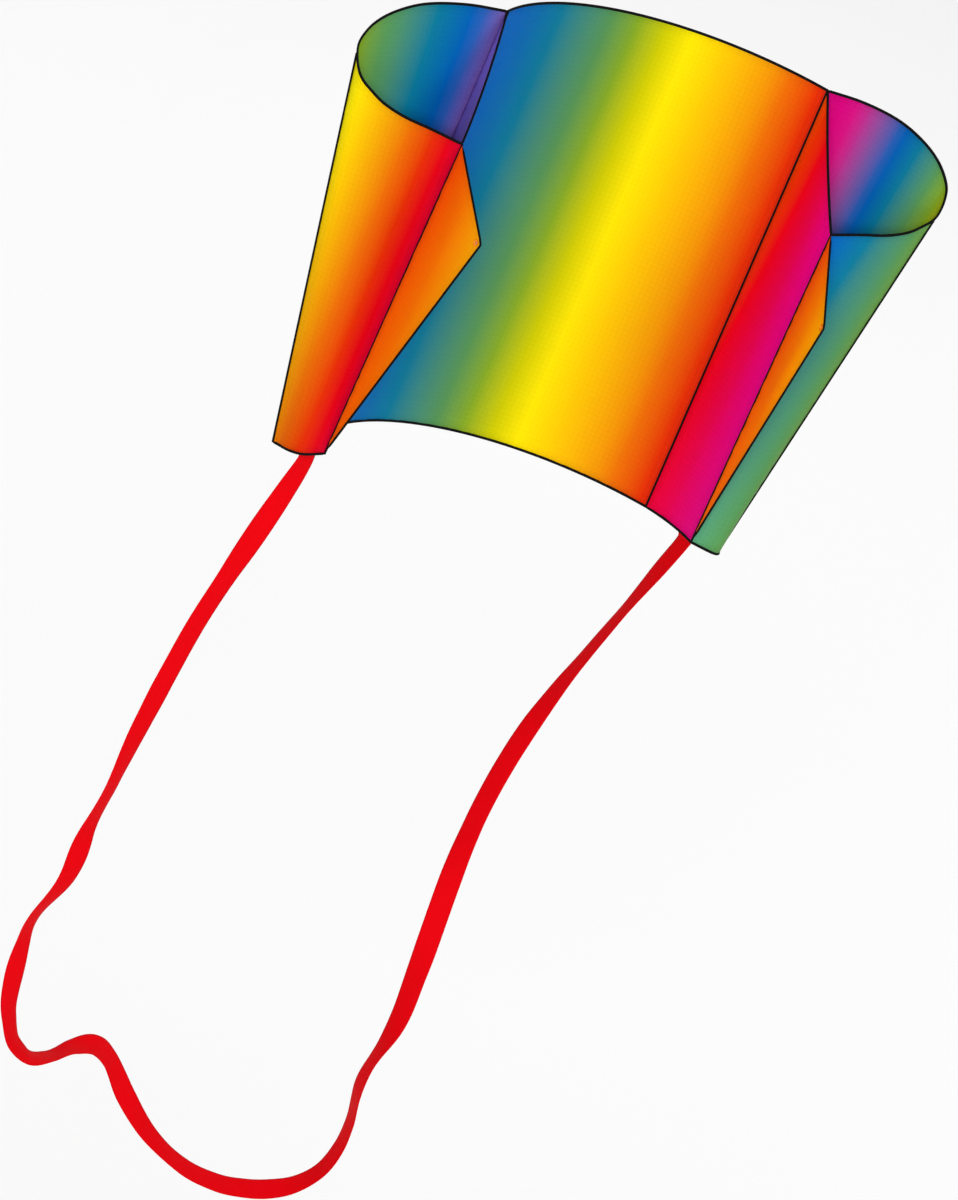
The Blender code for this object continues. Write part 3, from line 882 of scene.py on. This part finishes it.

# The stops of each panel. Shades: share or metres, place on the rainbow. Strength: share of the width,
# painted light and shade, a factor on the screen colours that evens out how the lamps fall on each panel and
# lifts faces in shade. The stops over the height: share of the height, a further factor of painted light
# that darkens the brightly lit rim and lightens the shaded depth inside the cell.
panels = {
    "canopy": {
        "shades": [
            (0, 0.195), (0.10, 0.205), (0.18, 0.238), (0.27, 0.302), (0.42, 0.397), (0.73, 0.608),
            (0.85, 0.668), (1, 0.765),
        ],
        "strength": [(0, 1.08), (0.12, 0.98), (0.25, 0.85), (0.42, 0.73), (0.65, 0.78), (1, 0.84)],
    },
    "leftCellBack": {
        "shades": [(0, 0.105), (0.12, 0.160), (0.21, 0.214), (0.40, 0.306), (0.60, 0.377), (1, 0.475)],
        "strength": [(0, 1.0), (0.3, 0.90), (1, 0.85)],
        "paintedDepthLight": [(0, 0.88), (0.12, 0.98), (0.30, 1.23), (1, 1.23)],
    },
    "leftCellFront": {
        "shades": [
            (0, 0.870), (0.003, 0.842), (0.012, 0.809), (0.033, 0.749), (0.060, 0.696), (0.107, 0.615),
            (0.138, 0.548), (0.157, 0.520),
        ],
        "strength": [(0, 0.80), (0.2, 0.745), (0.5, 0.71), (1, 0.72)],
    },
    # painted light: the wall's inner face lies in shade inside the cell, so its colours are lifted nearly
    # twofold
    "leftCellWall": {
        "shades": [(0, 0.105), (0.151, 0.115)],
        "strength": [(0, 1.9), (1, 1.9)],
    },
    "rightCellBack": {
        "shades": [
            (0, 0), (0.10, 0), (0.18, 0.010), (0.265, 0.062), (0.35, 0.098), (0.43, 0.158), (0.59, 0.314),
            (0.75, 0.420), (0.855, 0.468), (1, 0.480),
        ],
        "strength": [(0, 0.75), (0.2, 0.87), (1, 0.87)],
        "paintedDepthLight": [(0, 0.88), (0.12, 0.98), (0.30, 1.23), (1, 1.23)],
    },
    "rightCellFront": {
        "shades": [(0, 0.421), (0.020, 0.405), (0.065, 0.335), (0.102, 0.240), (0.124, 0.200)],
        "strength": [(0, 0.75), (0.6, 0.83), (1, 1.05)],
    },
    "rightCellWall": {
        "shades": [(0, 1), (0.030, 0.950), (0.084, 0.828), (0.110, 0.772), (0.127, 0.750), (0.151, 0.735)],
        "strength": [(0, 0.95), (1, 0.98)],
    },
}


def reached(first, second, fromFirst, fromSecond):
    # the place to the right of the line from first to second, at these distances from the two
    base = second - first
    unit = base.normalized()
    along = (fromFirst**2 - fromSecond**2 + base.length_squared) / (2 * base.length)
    aside = math.sqrt(max(fromFirst**2 - along**2, 0.0))
    return first + unit * along + Vector((-unit.y, unit.x)) * aside


def laidFlat(tops, bottoms):
    # the ruled panel unrolled, its middle upright: flat places of its top and bottom points
    uppers = [Vector((0.0, 0.0))]
    lowers = [Vector((0.0, -(bottoms[0] - tops[0]).length))]
    for index in range(len(tops) - 1):
        top, bottom = tops[index + 1], bottoms[index + 1]
        crossways = (top - bottoms[index]).length
        uppers.append(reached(uppers[-1], lowers[-1], (top - tops[index]).length, crossways))
        fall, step = (bottom - top).length, (bottom - bottoms[index]).length
        lowers.append(reached(uppers[-1], lowers[-1], fall, step))
    middle = len(tops) // 2
    lean = (lowers[middle] - uppers[middle]).angle_signed(Vector((0.0, -1.0)))
    turn = Matrix.Rotation(-lean, 2)
    return [turn @ place for place in uppers], [turn @ place for place in lowers]


def fromLine(place, start, end):
    # distance from a straight edge, and along it
    unit = (end - start).normalized()
    return abs(unit.cross(place - start)), unit.dot(place - start)


def gathered(edges, seed):
    # height of the cloth over its smooth shape; edges are (distance from an edge, distance along it)
    height = 0.0
    calm = 1.0
    for index, (inwards, along) in enumerate(edges):
        wave = noise.noise(Vector((along / panelSize["puckerPitch"], seed + 3.1 * index, 0.5)))
        fall = math.exp(-inwards / panelSize["puckerReach"]) * smooth(inwards, panelSize["puckerStart"])
        height += panelSize["pucker"] * wave * fall
        calm *= smooth(inwards, panelSize["billowStart"])
    across, along = [distance / wave for distance, wave in zip(edges[0], panelSize["billowWaves"])]
    return height + panelSize["billow"] * noise.noise(Vector((across, along, seed + 17.0))) * calm


def uprightLines(tops, bottoms, sides):
    # for each column: its top, its fall, the ways of both edges there and how square those are to the fall
    uprights = []
    for upper, lower, (upperSide, lowerSide) in zip(tops, bottoms, sides):
        fall = lower - upper
        squareness = [fall.normalized().cross(side).length for side in (upperSide, lowerSide)]
        uprights.append((upper, fall, upperSide, lowerSide, *squareness))
    return uprights


def makePanel(name, node, top, bottom, flip, seed, reading):
    # a ruled panel between two edges, with its gathers; reading says where its shades are read
    columns = int(max(top.length, bottom.length) / panelSize["cell"])
    shares = [step / columns for step in range(columns + 1)]
    tops, bottoms = [top.at(share) for share in shares], [bottom.at(share) for share in shares]
    uppers, lowers = laidFlat(tops, bottoms)
    rows = int(max((b - a).length for a, b in zip(tops, bottoms)) / panelSize["cell"])
    uprights = uprightLines(tops, bottoms, [(top.heading(share), bottom.heading(share)) for share in shares])
    bm, places = flatGrid(columns, rows)
    look = panels[name]
    weave, shade, hem = {}, {}, {}
    for vert, (across, down) in places.items():
        index = round(across * columns)
        upper, fall, upperSide, lowerSide, upperSquare, lowerSquare = uprights[index]
        flatPlace = uppers[index].lerp(lowers[index], down)
        normal = upperSide.lerp(lowerSide, down).cross(fall).normalized()
        edges = [
            fromLine(flatPlace, uppers[0], lowers[0]),
            fromLine(flatPlace, uppers[-1], lowers[-1]),
            (down * fall.length * upperSquare, across * top.length),
            ((1 - down) * fall.length * lowerSquare, across * bottom.length),
        ]
        vert.co = flip(upper + fall * down + normal * gathered(edges, seed))
        weave[vert] = flatPlace
        hem[vert] = min(edges)  # the nearest edge
        width = top.length + (bottom.length - top.length) * down
        # painted light and shade: the strength and depth stops lighten or darken the dye by place, in the
        # shade map's second value
        strength = between(across, look["strength"])
        if "paintedDepthLight" in look:
            strength *= between(down, look["paintedDepthLight"])
        shade[vert] = (between(reading(across, width), look["shades"]), strength)
    writeMaps(bm, weave=weave, shade=shade, hem=hem)
    piece = addPiece(name + "Cloth", bm, cloth, "sail", node)
    thicken(piece, panelSize["thickness"])


def makePanels():
    makePanel(
        "canopy", "canopy", leadingEdge, trailingEdge, asIs, 1.0,
        lambda across, width: across,
    )
    # where the shades are read from: a share from the seam, or metres from the keel line or outer fold
    readings = {
        "CellBack": lambda across, width: across,
        "leftCellFront": lambda across, width: (1 - across) * width,
        "rightCellFront": lambda across, width: across * width * math.sqrt(width / panelSize["frontWidth"]),
        "CellWall": lambda across, width: (1 - across) * width,
    }
    for index, (side, flip) in enumerate(sides.items()):
        rimBack, rimFront, outletBack, outletFront = mouths[side]
        for place, top, bottom, seams, trims in (
            ("Back", rimBack, outletBack, ("seam", "outer"), ("SeamPiping", "IntakeTape")),
            ("Front", rimFront, outletFront, ("outer", "keel_line"), ("OuterPiping", "OutletTape")),
            ("Wall", wallTop, wallBottom, ("seam", "keel_line"), ("KeelLinePiping",)),
        ):
            name = f"{side}Cell{place}"
            makePanel(
                name, f"{side}_cell_{place.lower()}", top, bottom, flip,
                5.0 + 4.0 * index + len(place), readings.get(name) or readings[f"Cell{place}"],
            )
            print("panel:", name)


makePanels()


# Keels

keelSize = {
    "columns": 44,
    "rows": 130,
    "shadeTop": 0.74,
    "shadeBottom": 0.712,
    "shadeTip": 0.65,
    # painted light: the right keel lies in the wall's shade and is painted lighter than the left
    "strength": {"left": 0.95, "right": 1.18},
    "bulge": 0.0016,
    "bulgeStart": 0.03,
    "bulgeWaves": (0.05, 0.1),
    "edgeRest": 0.004,  # the cloth is flat this near its free edge
    "edgeSlant": 0.8,  # the free edge runs aslant, so it is nearer than along a row
    "topClear": 0.0030,  # the edge tape starts this far from the keel line's ends
    "bottomClear": 0.0065,
    "eyeletInset": 0.0095,
    "holeRadius": 0.0029,
    "holeCuts": 16,
}

eyeletSize = {
    "bore": 0.0020,
    "barrel": 0.0026,
    "flange": 0.0038,
    "flangeThickness": 0.0004,
    "clear": 0.0007,  # from the keel's middle to the flange
    "sides": 32,
}


def cutHole(bm, centre, normal, radius):
    # a ring of cuts round the centre, then the faces inside it go
    toSide = normal.orthogonal().normalized()
    reach, inner = radius * 2.6, radius * 0.98
    for step in range(keelSize["holeCuts"]):
        outward = Quaternion(normal, math.tau * step / keelSize["holeCuts"]) @ toSide
        near = [face for face in bm.faces if (face.calc_center_median() - centre).length < reach]
        geometry = set(near)
        for face in near:
            geometry.update(face.edges)
            geometry.update(face.verts)
        bmesh.ops.bisect_plane(bm, geom=list(geometry), plane_co=centre + outward * radius, plane_no=outward)
    inside = [face for face in bm.faces if (face.calc_center_median() - centre).length < inner]
    bmesh.ops.delete(bm, geom=inside, context="FACES")


def makeEyelet(side, turn, lacquer):
    clear, flange = eyeletSize["clear"], eyeletSize["flangeThickness"]
    bore, barrel, edge = eyeletSize["bore"], eyeletSize["barrel"], eyeletSize["flange"]
    half = [  # rolled flange, then the barrel
        (bore, -clear), (bore + 0.0002, -clear - flange * 0.8), (bore + 0.0006, -clear - flange),
        (edge - 0.0003, -clear - flange * 0.85), (edge, -clear - flange * 0.3), (edge - 0.0001, -clear),
        (barrel, -clear),
    ]
    profile = half + [(radius, -height) for radius, height in reversed(half)]
    bm = bmesh.new()
    verts = [bm.verts.new((radius, 0.0, height)) for radius, height in profile]
    edges = [bm.edges.new(pair) for pair in zip(verts, verts[1:] + verts[:1])]
    bmesh.ops.spin(
        bm, geom=verts + edges, cent=(0, 0, 0), axis=(0, 0, 1), angle=math.tau, steps=eyeletSize["sides"],
        use_merge=True,
    )
    bmesh.ops.recalc_face_normals(bm, faces=bm.faces)
    bmesh.ops.transform(bm, matrix=turn, verts=bm.verts)
    return addPiece(f"{side}Eyelet", bm, lacquer, f"{side}_keel", f"{side}_keel_eyelet")


def keelMesh(side, flip, seed):
    # rows from the keel line to the free edge, a little bellied
    tipShare = (keelTip - keelTop).length / keelEdge.length
    normal = (keelBottom - keelTop).cross(keelTip - keelTop).normalized()
    downLine = keelLine.heading(0.5)
    waveAcross, waveDown = keelSize["bulgeWaves"]
    shadeTop, shadeBottom, shadeTip = keelSize["shadeTop"], keelSize["shadeBottom"], keelSize["shadeTip"]
    bm, shares = flatGrid(keelSize["columns"], keelSize["rows"])
    weave, shade, hem = {}, {}, {}
    for vert, (across, down) in shares.items():
        onLine, onEdge = keelLine.at(down), keelEdge.at(down)
        place = onLine.lerp(onEdge, across)
        toTip = across * min(down / tipShare, (1 - down) / (1 - tipShare))
        fromTop = (place - keelTop).dot(downLine)
        fromKeelLine = toTip * keelDepth
        toEdge = (onEdge - onLine).length * (1 - across) * keelSize["edgeSlant"]
        edges = [(fromKeelLine, fromTop), (toEdge, down * keelEdge.length)]
        belly = smooth(fromKeelLine, keelSize["bulgeStart"]) * smooth(toEdge, keelSize["bulgeStart"])
        belly *= 0.6 + noise.noise(Vector((fromKeelLine / waveAcross, fromTop / waveDown, seed)))
        lift = gathered(edges, seed) * (smooth(toEdge, keelSize["edgeRest"]) if across else 0.0)
        vert.co = flip(place + normal * (lift + keelSize["bulge"] * belly))
        weave[vert] = (fromKeelLine, fromTop)
        hem[vert] = min(edges)
        onLineShade = shadeTop + (shadeBottom - shadeTop) * fromTop / keelLine.length
        # the second value is that side's painted light
        shade[vert] = (onLineShade + (shadeTip - onLineShade) * toTip, keelSize["strength"][side])
    writeMaps(bm, weave=weave, shade=shade, hem=hem)
    bmesh.ops.remove_doubles(bm, verts=bm.verts, dist=1e-6)
    return bm


def makeKeel(side, flip, seed, lacquer):
    bm = keelMesh(side, flip, seed)
    inwards = ((keelTop - keelTip).normalized() + (keelBottom - keelTip).normalized()).normalized()
    flippedNormal = flip(keelBottom - keelTop).cross(flip(keelTip - keelTop)).normalized()
    centre = flip(keelTip + inwards * keelSize["eyeletInset"])
    cutHole(bm, centre, flippedNormal, keelSize["holeRadius"])
    turn = flippedNormal.to_track_quat("Z", "Y").to_matrix().to_4x4()
    turn.translation = centre
    eyelet = makeEyelet(side, turn, lacquer)

    edgeLine = shortened(keelEdge, keelSize["topClear"], keelSize["bottomClear"])
    heart = spotLine((keelTop + keelTip + keelBottom) / 3)
    edging = makeTape(
        f"{side}KeelTape", [(edgeLine, heart)], flip,
        tapeSize["keelWidth"], tapeSize["keelThickness"], tapeSize["lean"],
        f"{side}_keel", f"{side}_keel_binding", taper=tapeSize["keelTaper"],
    )
    keel = addPiece(f"{side}KeelCloth", bm, cloth, f"{side}_keel", f"{side}_keel")
    thicken(keel, panelSize["thickness"])
    print("keel:", side)


keelLacquer = orangeLacquer()
for index, (side, flip) in enumerate(sides.items()):
    makeKeel(side, flip, 31.0 + 6.0 * index, keelLacquer)


# Sewn ends of the ribbon, under the cells

tabSize = {
    "width": 0.0200,
    "thickness": 0.0013,
    "height": 0.0060,
    "rise": 0.0040,  # its middle, over the outlet's edge
    "rounding": 0.4,  # of its thickness
}


def makeTab(side, row, ribbonCloth):
    # a folded end: a block with rounded edges, over the ribbon's last row
    middle, sideways, normal = row
    bm = bmesh.new()
    bmesh.ops.create_cube(bm, size=1.0)
    bmesh.ops.scale(bm, vec=(tabSize["width"], tabSize["thickness"], tabSize["height"]), verts=bm.verts)
    rounding = tabSize["thickness"] * tabSize["rounding"]
    bmesh.ops.bevel(
        bm, geom=bm.edges[:], offset=rounding, segments=3, profile=0.5, affect="EDGES", material=-1
    )
    writeMaps(bm, ribbon={vert: (vert.co.z, vert.co.x) for vert in bm.verts})
    turn = Matrix((sideways, normal, sideways.cross(normal))).transposed().to_4x4()
    turn.translation = (middle.x, middle.y, tabSpot.z + tabSize["rise"])
    bmesh.ops.transform(bm, matrix=turn, verts=bm.verts)
    return addPiece(f"{side}TailTab", bm, ribbonCloth, "sail", f"{side}_tail_tab")


for side, row in ribbonEnds.items():
    makeTab(side, row, ribbon.data.materials[0])
print("tail tabs sewn on")

print("sled kite: finished")
